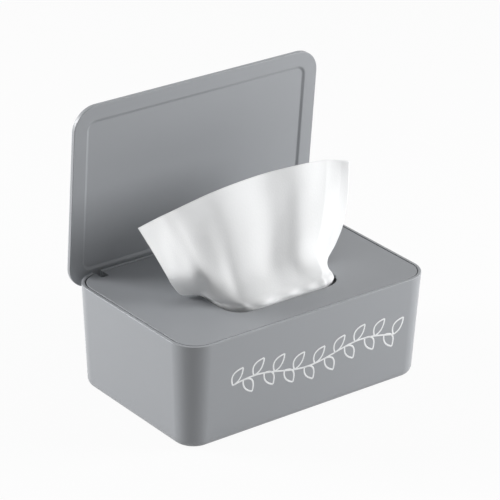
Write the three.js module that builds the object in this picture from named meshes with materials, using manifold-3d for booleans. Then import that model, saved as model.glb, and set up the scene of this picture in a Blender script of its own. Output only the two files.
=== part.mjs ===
// A wet wipes dispenser: a drafted box with a flat inner cover, a hinged outer lid that stands open,
// the folded wipes inside, and one wipe pulled up through the opening.
// Millimetres. +X runs along the box's long side, +Y to its hinge side, +Z up.
// The origin is the centre of the box's underside.

import * as THREE from 'three';
import { mergeVertices } from 'three/addons/utils/BufferGeometryUtils.js';
import { ParametricGeometry } from 'three/addons/geometries/ParametricGeometry.js';
import Module from 'manifold-3d';

// Box
const box_length = 190;
const box_depth = 123.2;
const box_height = 70.3;
const box_corner_radius = 17.7;
const box_draft = 3.74;
const box_foot_radius = 4;
const box_wall = 2.2;
const floor_thickness = 2;
const floor_fillet = 2;
const rim_fillet = 0.5;

// Ledge that the inner cover rests on
const ledge_width = 2.4;
const ledge_lip = 0.9;
const ledge_slope = 2;

// Inner cover
const cover_thickness = 1.8;
const cover_below_rim = 0.2;
const cover_gap = 0.6;
const cover_edge = 0.3;
const seat_gap = 0.3;
const opening_length = 86;
const opening_depth = 77;
const opening_radius = 14;
const opening_fillet = 0.5;

// Hinge
const hinge_from_rear = 4.2;
const hinge_below_rim = 7.1;
const hinge_from_end = 19.2;
const arm_width = 5.2;
const arm_clearance = 0.55;
const hub_radius = 3;
const pin_radius = 1.5;
const pin_clearance = 0.3;
const cheek_thickness = 2;
const pocket_front_clearance = 2.2;
const pocket_floor_clearance = 1.2;
const pocket_floor_thickness = 2;
const hinge_sweep_gap = 0.3;

// Lid
const lid_side_inset = 1.35;
const lid_front_overhang = 1.2;
const lid_rear_overhang = 0.3;
const lid_corner_inset = 1.8;
const lid_thickness = 3.6;
const lid_gap = 0.3;
const lid_outer_radius = 1.4;
const lid_inner_radius = 0.4;
const panel_side_margin = 9;
const panel_front_margin = 9.5;
const panel_tail_margin = 11;
const panel_depth = 1;
const panel_bevel = 2;
const panel_radius = 7;
const lid_open_angle = 86.16;

// Folded wipes
const stack_end_clearance = 4.56;
const stack_side_clearance = 4.66;
const stack_height = 42;
const stack_radius = 6;
const stack_edge = 1.5;

// Pulled wipe
const wipe_thickness = 1;
const wipe_lip_gap = 0.9;
const wipe_tail_inset = 2.5;

const box_plastic = new THREE.MeshStandardMaterial({ color: 0x878a8f, roughness: 0.5, metalness: 0 });
const cover_plastic = new THREE.MeshStandardMaterial({ color: 0x85888d, roughness: 0.52, metalness: 0 });
const lid_plastic = new THREE.MeshStandardMaterial({ color: 0x888b90, roughness: 0.5, metalness: 0 });
const stack_cloth = new THREE.MeshStandardMaterial({ color: 0xf1f2f3, roughness: 0.9, metalness: 0 });
const wipe_cloth = new THREE.MeshStandardMaterial({ color: 0xf6f7f8, roughness: 0.9, metalness: 0 });

const wasm = await Module();
wasm.setup();

// Outline of a rectangle with rounded corners, centred on the origin.
function rounded_rectangle(length, depth, radius) {
  const x = length / 2 - radius;
  const y = depth / 2 - radius;
  const shape = new THREE.Shape();
  shape.moveTo(-x, -y - radius);
  shape.lineTo(x, -y - radius);
  shape.absarc(x, -y, radius, -Math.PI / 2, 0, false);
  shape.lineTo(x + radius, y);
  shape.absarc(x, y, radius, 0, Math.PI / 2, false);
  shape.lineTo(-x, y + radius);
  shape.absarc(-x, y, radius, Math.PI / 2, Math.PI, false);
  shape.lineTo(-x - radius, -y);
  shape.absarc(-x, -y, radius, Math.PI, Math.PI * 1.5, false);
  return shape;
}

// A rounded rectangle carried up through levels of [height, inset]; each level's outline lies that
// far inside the first, so straight walls, drafts, fillets and steps all come from one list.
function levelled_prism(length, depth, radius, levels) {
  const geometry = new THREE.ExtrudeGeometry(rounded_rectangle(length, depth, radius), {
    depth: levels.length - 1,
    steps: levels.length - 1,
    bevelEnabled: false,
    curveSegments: 7,
  });
  const core_x = length / 2 - radius;
  const core_y = depth / 2 - radius;
  const place = geometry.attributes.position;
  for (let i = 0; i < place.count; i += 1) {
    const [height, inset] = levels[Math.round(place.getZ(i))];
    const x = place.getX(i);
    const y = place.getY(i);
    const near_x = THREE.MathUtils.clamp(x, -core_x, core_x);
    const near_y = THREE.MathUtils.clamp(y, -core_y, core_y);
    const share = (radius - inset) / radius;
    place.setXYZ(i, near_x + (x - near_x) * share, near_y + (y - near_y) * share, height);
  }
  return geometry;
}

// A shape drawn in the plane of the box's end, with Y to the right and Z up, carried along X.
function end_profile(shape, x_from, x_to) {
  const geometry = new THREE.ExtrudeGeometry(shape, {
    depth: x_to - x_from,
    bevelEnabled: false,
    curveSegments: 16,
  });
  const along = new THREE.Matrix4();
  along.makeBasis(new THREE.Vector3(0, 1, 0), new THREE.Vector3(0, 0, 1), new THREE.Vector3(1, 0, 0));
  along.setPosition(x_from, 0, 0);
  return geometry.applyMatrix4(along);
}

function block(x_from, x_to, y_from, y_to, z_from, z_to) {
  const geometry = new THREE.BoxGeometry(x_to - x_from, y_to - y_from, z_to - z_from);
  return geometry.translate((x_from + x_to) / 2, (y_from + y_to) / 2, (z_from + z_to) / 2);
}

// A round rod along X.
function rod(radius, x_from, x_to, y, z) {
  const geometry = new THREE.CylinderGeometry(radius, radius, x_to - x_from, 32);
  geometry.rotateZ(Math.PI / 2);
  return geometry.translate((x_from + x_to) / 2, y, z);
}

function to_solid(geometry) {
  const bare = geometry.clone();
  bare.deleteAttribute('normal');
  bare.deleteAttribute('uv');
  const merged = mergeVertices(bare, 1e-4);
  const vertProperties = new Float32Array(merged.attributes.position.array);
  const triVerts = new Uint32Array(merged.index.array);
  return new wasm.Manifold(new wasm.Mesh({ numProp: 3, vertProperties, triVerts }));
}

function to_geometry(solid) {
  const mesh = solid.getMesh();
  const geometry = new THREE.BufferGeometry();
  geometry.setAttribute('position', new THREE.BufferAttribute(mesh.vertProperties, 3));
  geometry.setIndex(new THREE.BufferAttribute(mesh.triVerts, 1));
  geometry.computeVertexNormals();
  return geometry;
}

// Quarter circle steps of [height, inset] from a flat face up to a wall, or back from one.
function foot_levels(z, inset, radius, steps) {
  const levels = [];
  for (let i = 0; i <= steps; i += 1) {
    const turn = (Math.PI / 2) * (i / steps);
    levels.push([z + radius * (1 - Math.cos(turn)), inset + radius * (1 - Math.sin(turn))]);
  }
  return levels;
}

function top_levels(z, inset, radius, steps) {
  const levels = foot_levels(0, inset, radius, steps).map(([rise, at]) => [z - rise, at]);
  return levels.reverse();
}

// A hole's wall that flares out into the flat face round its mouth.
function flare_levels(z, inset, radius, steps) {
  const levels = [];
  for (let i = 0; i <= steps; i += 1) {
    const turn = (Math.PI / 2) * (i / steps);
    levels.push([z - radius * (1 - Math.sin(turn)), inset - radius * (1 - Math.cos(turn))]);
  }
  return levels;
}

const hinge_y = box_depth / 2 - hinge_from_rear;
const hinge_z = box_height - hinge_below_rim;
const hinge_x = box_length / 2 - hinge_from_end;
const arm_slot = arm_width / 2 + arm_clearance;
const pocket_half = arm_slot + cheek_thickness;
const slot_front = hinge_y - hub_radius - pocket_front_clearance;
const slot_floor = hinge_z - hub_radius - pocket_floor_clearance;
const cover_top = box_height - cover_below_rim;
const ledge_top = cover_top - cover_thickness - seat_gap;
const far = 20;

function wall_inset(z) {
  return box_draft * (1 - z / box_height);
}

function box_outside() {
  const foot = foot_levels(0, box_draft, box_foot_radius, 5);
  foot[foot.length - 1][1] = wall_inset(box_foot_radius);
  const rim = top_levels(box_height, 0, rim_fillet, 3);
  return levelled_prism(box_length, box_depth, box_corner_radius, [...foot, ...rim]);
}

function box_inside() {
  const slope_bottom = ledge_top - ledge_lip - ledge_slope;
  const floor = foot_levels(floor_thickness, box_draft + box_wall, floor_fillet, 3);
  const levels = [
    ...floor,
    [slope_bottom, wall_inset(slope_bottom) + box_wall],
    [ledge_top - ledge_lip, box_wall + ledge_width],
    [ledge_top, box_wall + ledge_width],
    [ledge_top, box_wall],
    ...flare_levels(box_height, box_wall, rim_fillet, 3),
    [box_height + far, box_wall - rim_fillet],
  ];
  return levelled_prism(box_length, box_depth, box_corner_radius, levels);
}

// The slot that an arm turns in, cut through the rear wall and the cover's rear edge.
function arm_way(x) {
  const rear = box_depth / 2 + far;
  return block(x - arm_slot, x + arm_slot, slot_front, rear, slot_floor, box_height + far);
}

// The pocket's cheeks and floor, moulded onto the rear wall's inner face.
function pocket(x) {
  const z_from = slot_floor - pocket_floor_thickness;
  const rear = box_depth / 2 - wall_inset(z_from) - box_wall / 2;
  return block(x - pocket_half, x + pocket_half, slot_front - cheek_thickness, rear, z_from, ledge_top);
}

function socket(x) {
  const reach = pocket_half + 1;
  return rod(pin_radius + pin_clearance, x - reach, x + reach, hinge_y, hinge_z);
}

// The rear rim is rounded about the hinge, so the lid's flat face turns past it.
function rear_rim_cut() {
  const radius = box_height + lid_gap - hinge_z - hinge_sweep_gap;
  const rear = box_depth / 2 + far;
  const shape = new THREE.Shape();
  shape.moveTo(hinge_y, box_height + far);
  shape.lineTo(hinge_y, hinge_z + radius);
  shape.absarc(hinge_y, hinge_z, radius, Math.PI / 2, 0, true);
  shape.lineTo(rear, hinge_z);
  shape.lineTo(rear, box_height + far);
  return end_profile(shape, -box_length, box_length);
}

function make_box() {
  let solid = to_solid(box_outside()).subtract(to_solid(box_inside()));
  for (const x of [-hinge_x, hinge_x]) {
    solid = solid.add(to_solid(pocket(x)));
  }
  for (const x of [-hinge_x, hinge_x]) {
    solid = solid.subtract(to_solid(arm_way(x))).subtract(to_solid(socket(x)));
  }
  solid = solid.subtract(to_solid(rear_rim_cut()));
  return to_geometry(solid);
}

function make_cover() {
  const inset = box_wall + cover_gap;
  const under = cover_top - cover_thickness;
  const plate = levelled_prism(box_length, box_depth, box_corner_radius, [
    [under, inset + cover_edge],
    [under + cover_edge, inset],
    [cover_top - cover_edge, inset],
    [cover_top, inset + cover_edge],
  ]);
  const opening = levelled_prism(opening_length, opening_depth, opening_radius, [
    [under - far, -cover_edge],
    [under, -cover_edge],
    [under + cover_edge, 0],
    ...flare_levels(cover_top, 0, opening_fillet, 3),
    [cover_top + far, -opening_fillet],
  ]);
  let solid = to_solid(plate).subtract(to_solid(opening));
  for (const x of [-hinge_x, hinge_x]) {
    solid = solid.subtract(to_solid(arm_way(x)));
  }
  return to_geometry(solid);
}

// The lid is drawn closed, from the hinge axis: Y to the rear, Z up.
const lid_length = box_length - 2 * lid_side_inset;
const lid_depth = box_depth + lid_front_overhang + lid_rear_overhang;
const lid_corner_radius = box_corner_radius - lid_corner_inset;
const lid_tail = hinge_from_rear + lid_rear_overhang;
const lid_under = box_height + lid_gap - hinge_z;
const lid_middle_y = lid_tail - lid_depth / 2;

function lid_plate() {
  const plate = levelled_prism(lid_length, lid_depth, lid_corner_radius, [
    ...foot_levels(lid_under, 0, lid_inner_radius, 2),
    ...top_levels(lid_under + lid_thickness, 0, lid_outer_radius, 4),
  ]);
  return plate.translate(0, lid_middle_y, 0);
}

function lid_panel() {
  const length = lid_length - 2 * panel_side_margin;
  const depth = lid_depth - panel_front_margin - panel_tail_margin;
  const slope = panel_bevel / panel_depth;
  const panel = levelled_prism(length, depth, panel_radius, [
    [lid_under - 0.5, -0.5 * slope],
    [lid_under, 0],
    [lid_under + panel_depth, panel_bevel],
  ]);
  return panel.translate(0, lid_tail - panel_tail_margin - depth / 2, 0);
}

// One arm: a rounded hub on the axis, carried straight up into the plate.
function lid_arm(x) {
  const shape = new THREE.Shape();
  shape.moveTo(-hub_radius, lid_under + lid_thickness / 2);
  shape.lineTo(-hub_radius, 0);
  shape.absarc(0, 0, hub_radius, Math.PI, Math.PI * 2, false);
  shape.lineTo(hub_radius, lid_under + lid_thickness / 2);
  return end_profile(shape, x - arm_width / 2, x + arm_width / 2);
}

function lid_pins(x) {
  const reach = pocket_half - pin_clearance;
  return rod(pin_radius, x - reach, x + reach, 0, 0);
}

function make_lid() {
  let solid = to_solid(lid_plate()).subtract(to_solid(lid_panel()));
  for (const x of [-hinge_x, hinge_x]) {
    solid = solid.add(to_solid(lid_arm(x))).add(to_solid(lid_pins(x)));
  }
  return to_geometry(solid);
}

const floor_inset = box_draft + box_wall + floor_fillet;
const stack_length = box_length - 2 * (floor_inset + stack_end_clearance);
const stack_depth = box_depth - 2 * (floor_inset + stack_side_clearance);
const stack_bottom = floor_thickness + seat_gap;
const stack_top = stack_bottom + stack_height;

function make_stack() {
  return levelled_prism(stack_length, stack_depth, stack_radius, [
    [stack_bottom, stack_edge],
    [stack_bottom + stack_edge, 0],
    [stack_top - stack_edge, 0],
    [stack_top, stack_edge],
  ]);
}

// The pulled wipe's middle surface: rows from its free top edge down through the opening to the part
// that lies on the folded wipes, each row from the left edge to the right.
const lip_x = opening_length / 2 - wipe_lip_gap - wipe_thickness / 2;
const lip_y = opening_depth / 2 - wipe_lip_gap - wipe_thickness / 2;
const lip_z = cover_top;
const rest_z = stack_top + seat_gap + wipe_thickness / 2;
const wipe_rows = [
  [[-80.4, 10, 50.3], [-53.7, 12, 53.9], [-23.5, 9, 60.5], [15.9, 13, 60.5],
    [42.7, 9, 61.7], [67.7, 12, 57.7], [82.5, 9, 54.2]],
  [[-74.6, 2, 35.4], [-48.1, 4, 38.7], [-20.8, 1, 44.7], [14.8, 5, 44.1],
    [37.7, 1, 45.1], [59.5, 3, 40.8], [78.3, 4, 34.3]],
  [[-68.2, -3, 20.9], [-46.2, -5, 25.5], [-23.4, -9, 29.6], [8.3, -6, 28.8],
    [29.5, -10, 30.8], [49.6, -7, 26.5], [70.5, -2, 18.4]],
  [[-59.3, 0, 7.4], [-46.7, -13, 15], [-29.1, -21, 14], [-1.3, -20, 13.6],
    [19, -24, 15.5], [40.6, -16, 11.6], [59.5, -8, 9]],
].map((row) => row.map(([x, y, z]) => new THREE.Vector3(x, y, lip_z + z)));
wipe_rows.push([
  new THREE.Vector3(-lip_x - 9, 2, lip_z + 2.8),
  new THREE.Vector3(-lip_x - 1, -17, lip_z + 5),
  new THREE.Vector3(-lip_x + opening_radius - 1.4, -lip_y + 5, lip_z + 5.5),
  new THREE.Vector3(-2, -lip_y + 5, lip_z + 5.5),
  new THREE.Vector3(24, -lip_y + 4, lip_z + 5.5),
  new THREE.Vector3(lip_x - 1, -24, lip_z + 5),
  new THREE.Vector3(lip_x + 5, -14, lip_z + 3),
]);
wipe_rows.push([
  new THREE.Vector3(-lip_x + 0.3, -2.5, lip_z + 1.8),
  new THREE.Vector3(-lip_x + 0.8, -21.5, lip_z + 2),
  new THREE.Vector3(-lip_x + opening_radius, -lip_y + 1.6, lip_z + 2),
  new THREE.Vector3(0, -lip_y + 0.5, lip_z + 2),
  new THREE.Vector3(lip_x - opening_radius, -lip_y + 1.4, lip_z + 2),
  new THREE.Vector3(lip_x - 2, -25, lip_z + 2),
  new THREE.Vector3(lip_x - 0.3, -14.8, lip_z + 1.8),
]);
wipe_rows.push([
  new THREE.Vector3(-lip_x + 0.3, -3, lip_z - 0.5),
  new THREE.Vector3(-lip_x + 0.8, -22, lip_z - 0.5),
  new THREE.Vector3(-lip_x + opening_radius, -lip_y + 1.6, lip_z - 0.5),
  new THREE.Vector3(0, -lip_y + 0.5, lip_z - 0.5),
  new THREE.Vector3(lip_x - opening_radius, -lip_y + 1.4, lip_z - 0.5),
  new THREE.Vector3(lip_x - 2, -25, lip_z - 0.5),
  new THREE.Vector3(lip_x - 0.4, -15, lip_z - 0.5),
]);
wipe_rows.push([
  new THREE.Vector3(-lip_x + 2.5, -2, lip_z - 10),
  new THREE.Vector3(-lip_x + 5, -20, lip_z - 10),
  new THREE.Vector3(-lip_x + opening_radius, -lip_y + 4, lip_z - 10),
  new THREE.Vector3(0, -lip_y + 4, lip_z - 10),
  new THREE.Vector3(lip_x - opening_radius, -lip_y + 4, lip_z - 10),
  new THREE.Vector3(lip_x - 6, -22, lip_z - 10),
  new THREE.Vector3(lip_x - 3, -13, lip_z - 10),
]);
const lying_x = [-38, -30, -20, 0, 20, 30, 38];
wipe_rows.push(lying_x.map((x, i) => new THREE.Vector3(x, [2, -14, -25, -27, -25, -15, -4][i], rest_z + 5)));
wipe_rows.push(lying_x.map((x, i) => new THREE.Vector3(x, [14, 2, -8, -12, -8, 2, 10][i], rest_z + 0.8)));
wipe_rows.push(lying_x.map((x) => new THREE.Vector3(x, opening_depth / 2 - wipe_tail_inset, rest_z)));

function wipe_point(across, along, target) {
  const column = wipe_rows.map((row) => new THREE.CatmullRomCurve3(row, false, 'centripetal').getPoint(across));
  return new THREE.CatmullRomCurve3(column, false, 'centripetal').getPoint(along, target);
}

// Both faces of the wipe in one closed skin, which thins to nothing at its four edges.
function wipe_skin(u, v, target) {
  const face = u < 0.5 ? 1 : -1;
  const across = u < 0.5 ? 2 * u : 2 - 2 * u;
  const step = 1e-3;
  const here = wipe_point(across, v, new THREE.Vector3());
  const side_a = wipe_point(Math.max(across - step, 0), v, new THREE.Vector3());
  const side_b = wipe_point(Math.min(across + step, 1), v, new THREE.Vector3());
  const up_a = wipe_point(across, Math.max(v - step, 0), new THREE.Vector3());
  const up_b = wipe_point(across, Math.min(v + step, 1), new THREE.Vector3());
  const normal = side_b.sub(side_a).cross(up_b.sub(up_a)).normalize();
  const edge = Math.min(across, 1 - across, v, 1 - v) < 1e-6 ? 0 : 1;
  target.copy(here).addScaledVector(normal, (face * edge * wipe_thickness) / 2);
}

function make_wipe() {
  const geometry = new ParametricGeometry(wipe_skin, 44, 34);
  return to_geometry(to_solid(geometry));
}

function piece(name, geometry, material) {
  const mesh = new THREE.Mesh(geometry, material);
  mesh.name = name;
  return mesh;
}

const dispenser = new THREE.Group();
dispenser.add(piece('base_box', make_box(), box_plastic));
dispenser.add(piece('inner_cover', make_cover(), cover_plastic));
dispenser.add(piece('wipe_stack', make_stack(), stack_cloth));
dispenser.add(piece('pulled_wipe', make_wipe(), wipe_cloth));

const lid_swing = new THREE.Group();
lid_swing.position.set(0, hinge_y, hinge_z);
lid_swing.rotation.x = -THREE.MathUtils.degToRad(lid_open_angle);
lid_swing.add(piece('lid', make_lid(), lid_plastic));
dispenser.add(lid_swing);

export default dispenser;
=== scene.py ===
# %% [markdown]
# # A wet wipes dispenser, piece by piece
# The object is a grey plastic box with a flat inner cover, a hinged lid that stands open, a stack of
# folded wipes inside and one wipe pulled up through the opening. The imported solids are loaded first
# as a fixed frame. Every piece below is built in that frame, in metres, so nothing has to be fitted.

import math

import bmesh
import bpy
import numpy as np
from mathutils import Matrix, Vector


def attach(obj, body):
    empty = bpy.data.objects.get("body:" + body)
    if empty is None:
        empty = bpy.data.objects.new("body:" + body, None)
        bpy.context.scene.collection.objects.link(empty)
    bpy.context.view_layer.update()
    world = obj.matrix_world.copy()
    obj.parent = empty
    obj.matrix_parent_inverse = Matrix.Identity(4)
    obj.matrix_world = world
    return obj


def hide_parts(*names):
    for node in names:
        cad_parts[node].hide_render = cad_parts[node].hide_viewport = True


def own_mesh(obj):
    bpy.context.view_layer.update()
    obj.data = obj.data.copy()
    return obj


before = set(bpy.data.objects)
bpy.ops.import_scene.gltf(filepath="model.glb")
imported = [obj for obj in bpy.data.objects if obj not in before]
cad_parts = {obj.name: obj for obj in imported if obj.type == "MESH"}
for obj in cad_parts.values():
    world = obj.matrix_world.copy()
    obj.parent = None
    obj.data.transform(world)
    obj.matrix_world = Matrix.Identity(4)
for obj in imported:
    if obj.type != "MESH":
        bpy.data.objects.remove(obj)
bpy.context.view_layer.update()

# %% [markdown]
# The camera is a long lens far away, so the box's edges stay nearly parallel. A camera looks along
# its own -Z axis with +Y up, so its turn can be written straight from three directions: right, up
# and back. The tiny roll is part of the view, which is why a Track To constraint isn't used.

# %% Camera
LENS_MM = 204.197
CAMERA_PLACE = Vector((-0.97906, -1.25322, 0.83556))
CAMERA_RIGHT = Vector((0.79410255, -0.60748438, 0.01907534))
CAMERA_UP = Vector((0.24485676, 0.34848649, 0.90476645))


def new_object(name, data):
    """An object that shows the data, linked to the scene."""
    made = bpy.data.objects.new(name, data)
    bpy.context.scene.collection.objects.link(made)
    return made


def set_camera():
    data = bpy.data.cameras.new("view_camera")
    data.lens = LENS_MM
    data.sensor_width = 36
    data.clip_start = 0.05
    data.clip_end = 50
    camera = new_object("view_camera", data)
    back = CAMERA_RIGHT.cross(CAMERA_UP)
    turn = Matrix((CAMERA_RIGHT, CAMERA_UP, back)).transposed().to_4x4()
    camera.matrix_world = Matrix.Translation(CAMERA_PLACE) @ turn
    bpy.context.scene.camera = camera
    print("camera at", tuple(round(v, 3) for v in camera.location), "lens", LENS_MM)


set_camera()

# %% [markdown]
# Each size is written once, in millimetres, as a maker's drawing would give it, and turned into
# metres where a mesh is made. The sizes that several pieces share stand here, and the others stand
# with their own piece. They are the same as the solids', so the fine surfaces lie on the packed
# ones. Only the opening's edge and the bevel in the lid are a little softer than in the solids.

# %% Shared sizes
MM = 0.001
BOX_LENGTH, BOX_DEPTH, BOX_HEIGHT = 190.0, 123.2, 70.3
BOX_CORNER, BOX_DRAFT, BOX_WALL, FLOOR_THICK = 17.7, 3.74, 2.2, 2.0
COVER_THICK, COVER_TOP = 1.8, 70.1
OPENING_LENGTH, OPENING_DEPTH = 86.0, 77.0
STACK_HEIGHT = 42.0
SEAT_GAP = 0.3
HINGE_X, HINGE_Y, HINGE_Z = 75.8, 57.4, 63.2
HINGE_SIDES = (-HINGE_X, HINGE_X)
LEDGE_TOP = COVER_TOP - COVER_THICK - SEAT_GAP
STACK_BOTTOM = FLOOR_THICK + SEAT_GAP
STACK_TOP = STACK_BOTTOM + STACK_HEIGHT


def wall_inset(z):
    """How far the drafted wall lies inside the rim's outline at a height."""
    return BOX_DRAFT * (1 - z / BOX_HEIGHT)


print("ledge at", LEDGE_TOP, "stack top at", STACK_TOP)

# %% [markdown]
# The plastic is a satin moulded one. Its grey is one colour, but a real moulding is never perfectly
# even: the spark-eroded steel leaves a very fine grain, and the gloss wanders a little across a big
# face. Two noise textures on Object coordinates give both, so the pattern stays put on the piece.
# The grain is far too small to model, so it is only a bump.

# %% Satin plastic
PLASTIC_GREY = (0.330, 0.342, 0.360, 1.0)
COVER_GREY = (0.292, 0.303, 0.320, 1.0)


def new_material(name):
    material = bpy.data.materials.new(name)
    material.use_nodes = True
    nodes, links = material.node_tree.nodes, material.node_tree.links
    return material, nodes, links, nodes["Principled BSDF"]


def satin_plastic(name, colour, smooth, rough):
    """Grey moulded plastic whose gloss wanders between two roughness values."""
    material, nodes, links, shader = new_material(name)
    shader.inputs["Base Color"].default_value = colour
    shader.inputs["IOR"].default_value = 1.49
    shader.inputs["Specular IOR Level"].default_value = 0.42
    place = nodes.new("ShaderNodeTexCoord")
    patches = nodes.new("ShaderNodeTexNoise")
    patches.inputs["Scale"].default_value = 22
    patches.inputs["Detail"].default_value = 3
    gloss = nodes.new("ShaderNodeMapRange")
    gloss.inputs["From Min"].default_value = 0.3
    gloss.inputs["From Max"].default_value = 0.7
    gloss.inputs["To Min"].default_value = smooth
    gloss.inputs["To Max"].default_value = rough
    grain = nodes.new("ShaderNodeTexNoise")
    grain.inputs["Scale"].default_value = 2600
    grain.inputs["Detail"].default_value = 2
    bump = nodes.new("ShaderNodeBump")
    bump.inputs["Strength"].default_value = 0.16
    bump.inputs["Distance"].default_value = 0.00004
    links.new(place.outputs["Object"], patches.inputs["Vector"])
    links.new(place.outputs["Object"], grain.inputs["Vector"])
    links.new(patches.outputs["Fac"], gloss.inputs["Value"])
    links.new(gloss.outputs["Result"], shader.inputs["Roughness"])
    links.new(grain.outputs["Fac"], bump.inputs["Height"])
    links.new(bump.outputs["Normal"], shader.inputs["Normal"])
    return material


box_plastic = satin_plastic("satin_box_plastic", PLASTIC_GREY, 0.31, 0.37)
lid_plastic = satin_plastic("satin_lid_plastic", PLASTIC_GREY, 0.34, 0.41)
cover_plastic = satin_plastic("satin_cover_plastic", COVER_GREY, 0.36, 0.43)
print("plastics:", box_plastic.name, lid_plastic.name, cover_plastic.name)

# %% [markdown]
# Wet wipes are spunlace cloth: long fibres tangled by water jets, with a faint row pattern left by
# the jets and a very soft sheen. The pattern follows the cloth, so on the pulled wipe it reads a UV
# map measured in metres of flat cloth. Light also passes a short way under the surface. That way is
# kept to 3 mm, because a longer one makes a cloth as thin as this look dark.

# %% Spunlace cloth
CLOTH_WHITE = (0.87, 0.88, 0.885, 1.0)
LIGHT_WAY = 0.003


def spunlace_cloth(name, uv_name=None):
    """White nonwoven cloth, on its own flat UV map or on Object coordinates."""
    material, nodes, links, shader = new_material(name)
    shader.inputs["Base Color"].default_value = CLOTH_WHITE
    shader.inputs["Roughness"].default_value = 0.78
    shader.inputs["Specular IOR Level"].default_value = 0.25
    shader.inputs["Sheen Weight"].default_value = 0.12
    shader.inputs["Sheen Roughness"].default_value = 0.5
    shader.inputs["Subsurface Weight"].default_value = 0.35
    shader.inputs["Subsurface Radius"].default_value = (LIGHT_WAY, LIGHT_WAY, LIGHT_WAY)
    shader.inputs["Subsurface Scale"].default_value = 1.0
    if uv_name:
        place = nodes.new("ShaderNodeUVMap")
        place.uv_map = uv_name
        vector = place.outputs["UV"]
    else:
        place = nodes.new("ShaderNodeTexCoord")
        vector = place.outputs["Object"]
    stretch = nodes.new("ShaderNodeMapping")
    stretch.inputs["Scale"].default_value = (2200, 700, 700)
    fibres = nodes.new("ShaderNodeTexNoise")
    fibres.inputs["Scale"].default_value = 1.0
    fibres.inputs["Detail"].default_value = 5
    fibres.inputs["Distortion"].default_value = 0.8
    jets = nodes.new("ShaderNodeTexVoronoi")
    jets.inputs["Scale"].default_value = 900
    both = nodes.new("ShaderNodeMath")
    both.operation = "ADD"
    bump = nodes.new("ShaderNodeBump")
    bump.inputs["Strength"].default_value = 0.22
    bump.inputs["Distance"].default_value = 0.00012
    links.new(vector, stretch.inputs["Vector"])
    links.new(stretch.outputs["Vector"], fibres.inputs["Vector"])
    links.new(vector, jets.inputs["Vector"])
    links.new(fibres.outputs["Fac"], both.inputs[0])
    links.new(jets.outputs["Distance"], both.inputs[1])
    links.new(both.outputs["Value"], bump.inputs["Height"])
    links.new(bump.outputs["Normal"], shader.inputs["Normal"])
    return material


wipe_cloth = spunlace_cloth("spunlace_pulled", "flat_cloth")
stack_cloth = spunlace_cloth("spunlace_folded")
print("cloths:", wipe_cloth.name, stack_cloth.name)

# %% [markdown]
# The box, the cover and the lid are all rounded rectangles carried through a list of levels. A ring
# of points is written for each level, and neighbouring rings are joined with quads. A fillet is then
# just a few close rings on a quarter circle, which gives clean highlights without a Bevel modifier.

# %% Rings of points
CORNER_STEPS = 20
CORNER_SIGNS = ((1, -1), (1, 1), (-1, 1), (-1, -1))


def ring(length, depth, corner, z, inset=0.0, y_middle=0.0):
    """One rounded rectangle as points, counter-clockwise, drawn in by an inset."""
    points = []
    radius = corner - inset
    for k, (sx, sy) in enumerate(CORNER_SIGNS):
        centre_x = sx * (length / 2 - corner)
        centre_y = sy * (depth / 2 - corner) + y_middle
        start = -math.pi / 2 + k * math.pi / 2
        for i in range(CORNER_STEPS + 1):
            turn = start + (math.pi / 2) * i / CORNER_STEPS
            x = centre_x + radius * math.cos(turn)
            y = centre_y + radius * math.sin(turn)
            points.append((x, y, z))
    return points


def quarter(steps):
    """Shares of a quarter circle: sideways and upwards, both from 0 to 1."""
    turns = [math.pi / 2 * i / steps for i in range(steps + 1)]
    return [(1 - math.cos(t), math.sin(t)) for t in turns]


def skin_of(name, rings, ends_closed=True):
    """A closed surface through a list of equal rings, with a flat face at each end."""
    count = len(rings[0])
    points = [Vector(p) * MM for loop in rings for p in loop]
    faces = []
    last = len(rings) - 1 if ends_closed else len(rings)
    for r in range(last):
        low, high = r * count, ((r + 1) % len(rings)) * count
        for i in range(count):
            j = (i + 1) % count
            faces.append((low + i, low + j, high + j, high + i))
    if ends_closed:
        faces.append(tuple(reversed(range(count))))
        faces.append(tuple(range((len(rings) - 1) * count, len(rings) * count)))
    mesh = bpy.data.meshes.new(name)
    mesh.from_pydata(points, [], faces)
    return new_object(name, mesh)


print("points in one ring:", 4 * (CORNER_STEPS + 1))

# %% [markdown]
# Slots, sockets and pockets are cut or added with the exact Boolean modifier, and the result is
# taken as a plain mesh at once, so no cutter stays in the scene. Cutters reach far past the walls,
# because two faces in one plane are what a Boolean does worst.

# %% Joining and cutting
CUT_PAST = 90.0
SLOT_HALF, SLOT_FRONT, SLOT_FLOOR = 3.15, 52.2, 59.0


def block(x_from, x_to, y_from, y_to, z_from, z_to):
    """A plain cutter or rib between two corners, in millimetres."""
    xs, ys, zs = (x_from, x_to), (y_from, y_to), (z_from, z_to)
    corners = [(x * MM, y * MM, z * MM) for z in zs for y in ys for x in xs]
    faces = [(0, 2, 3, 1), (4, 5, 7, 6), (0, 1, 5, 4), (2, 6, 7, 3), (0, 4, 6, 2), (1, 3, 7, 5)]
    mesh = bpy.data.meshes.new("rib")
    mesh.from_pydata(corners, [], faces)
    return new_object("rib", mesh)


def rod(radius, middle, reach, y, z, steps=40):
    """A round rod along X, as far as its reach to both sides of its middle, in millimetres."""
    turns = [2 * math.pi * i / steps for i in range(steps)]
    outline = [(y + radius * math.cos(t), z + radius * math.sin(t)) for t in turns]
    ends = (middle - reach, middle + reach)
    return skin_of("rod", [[(x, *point) for point in outline] for x in ends])


def arm_slots():
    """The slots for the lid's two arms, which the box and its cover share."""
    return [block(x - SLOT_HALF, x + SLOT_HALF, SLOT_FRONT, CUT_PAST, SLOT_FLOOR, CUT_PAST)
            for x in HINGE_SIDES]


def plain_mesh(made):
    """The object's mesh as its modifiers leave it, as a new mesh of its own."""
    bpy.context.view_layer.update()
    evaluated = made.evaluated_get(bpy.context.evaluated_depsgraph_get())
    return bpy.data.meshes.new_from_object(evaluated)


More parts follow.
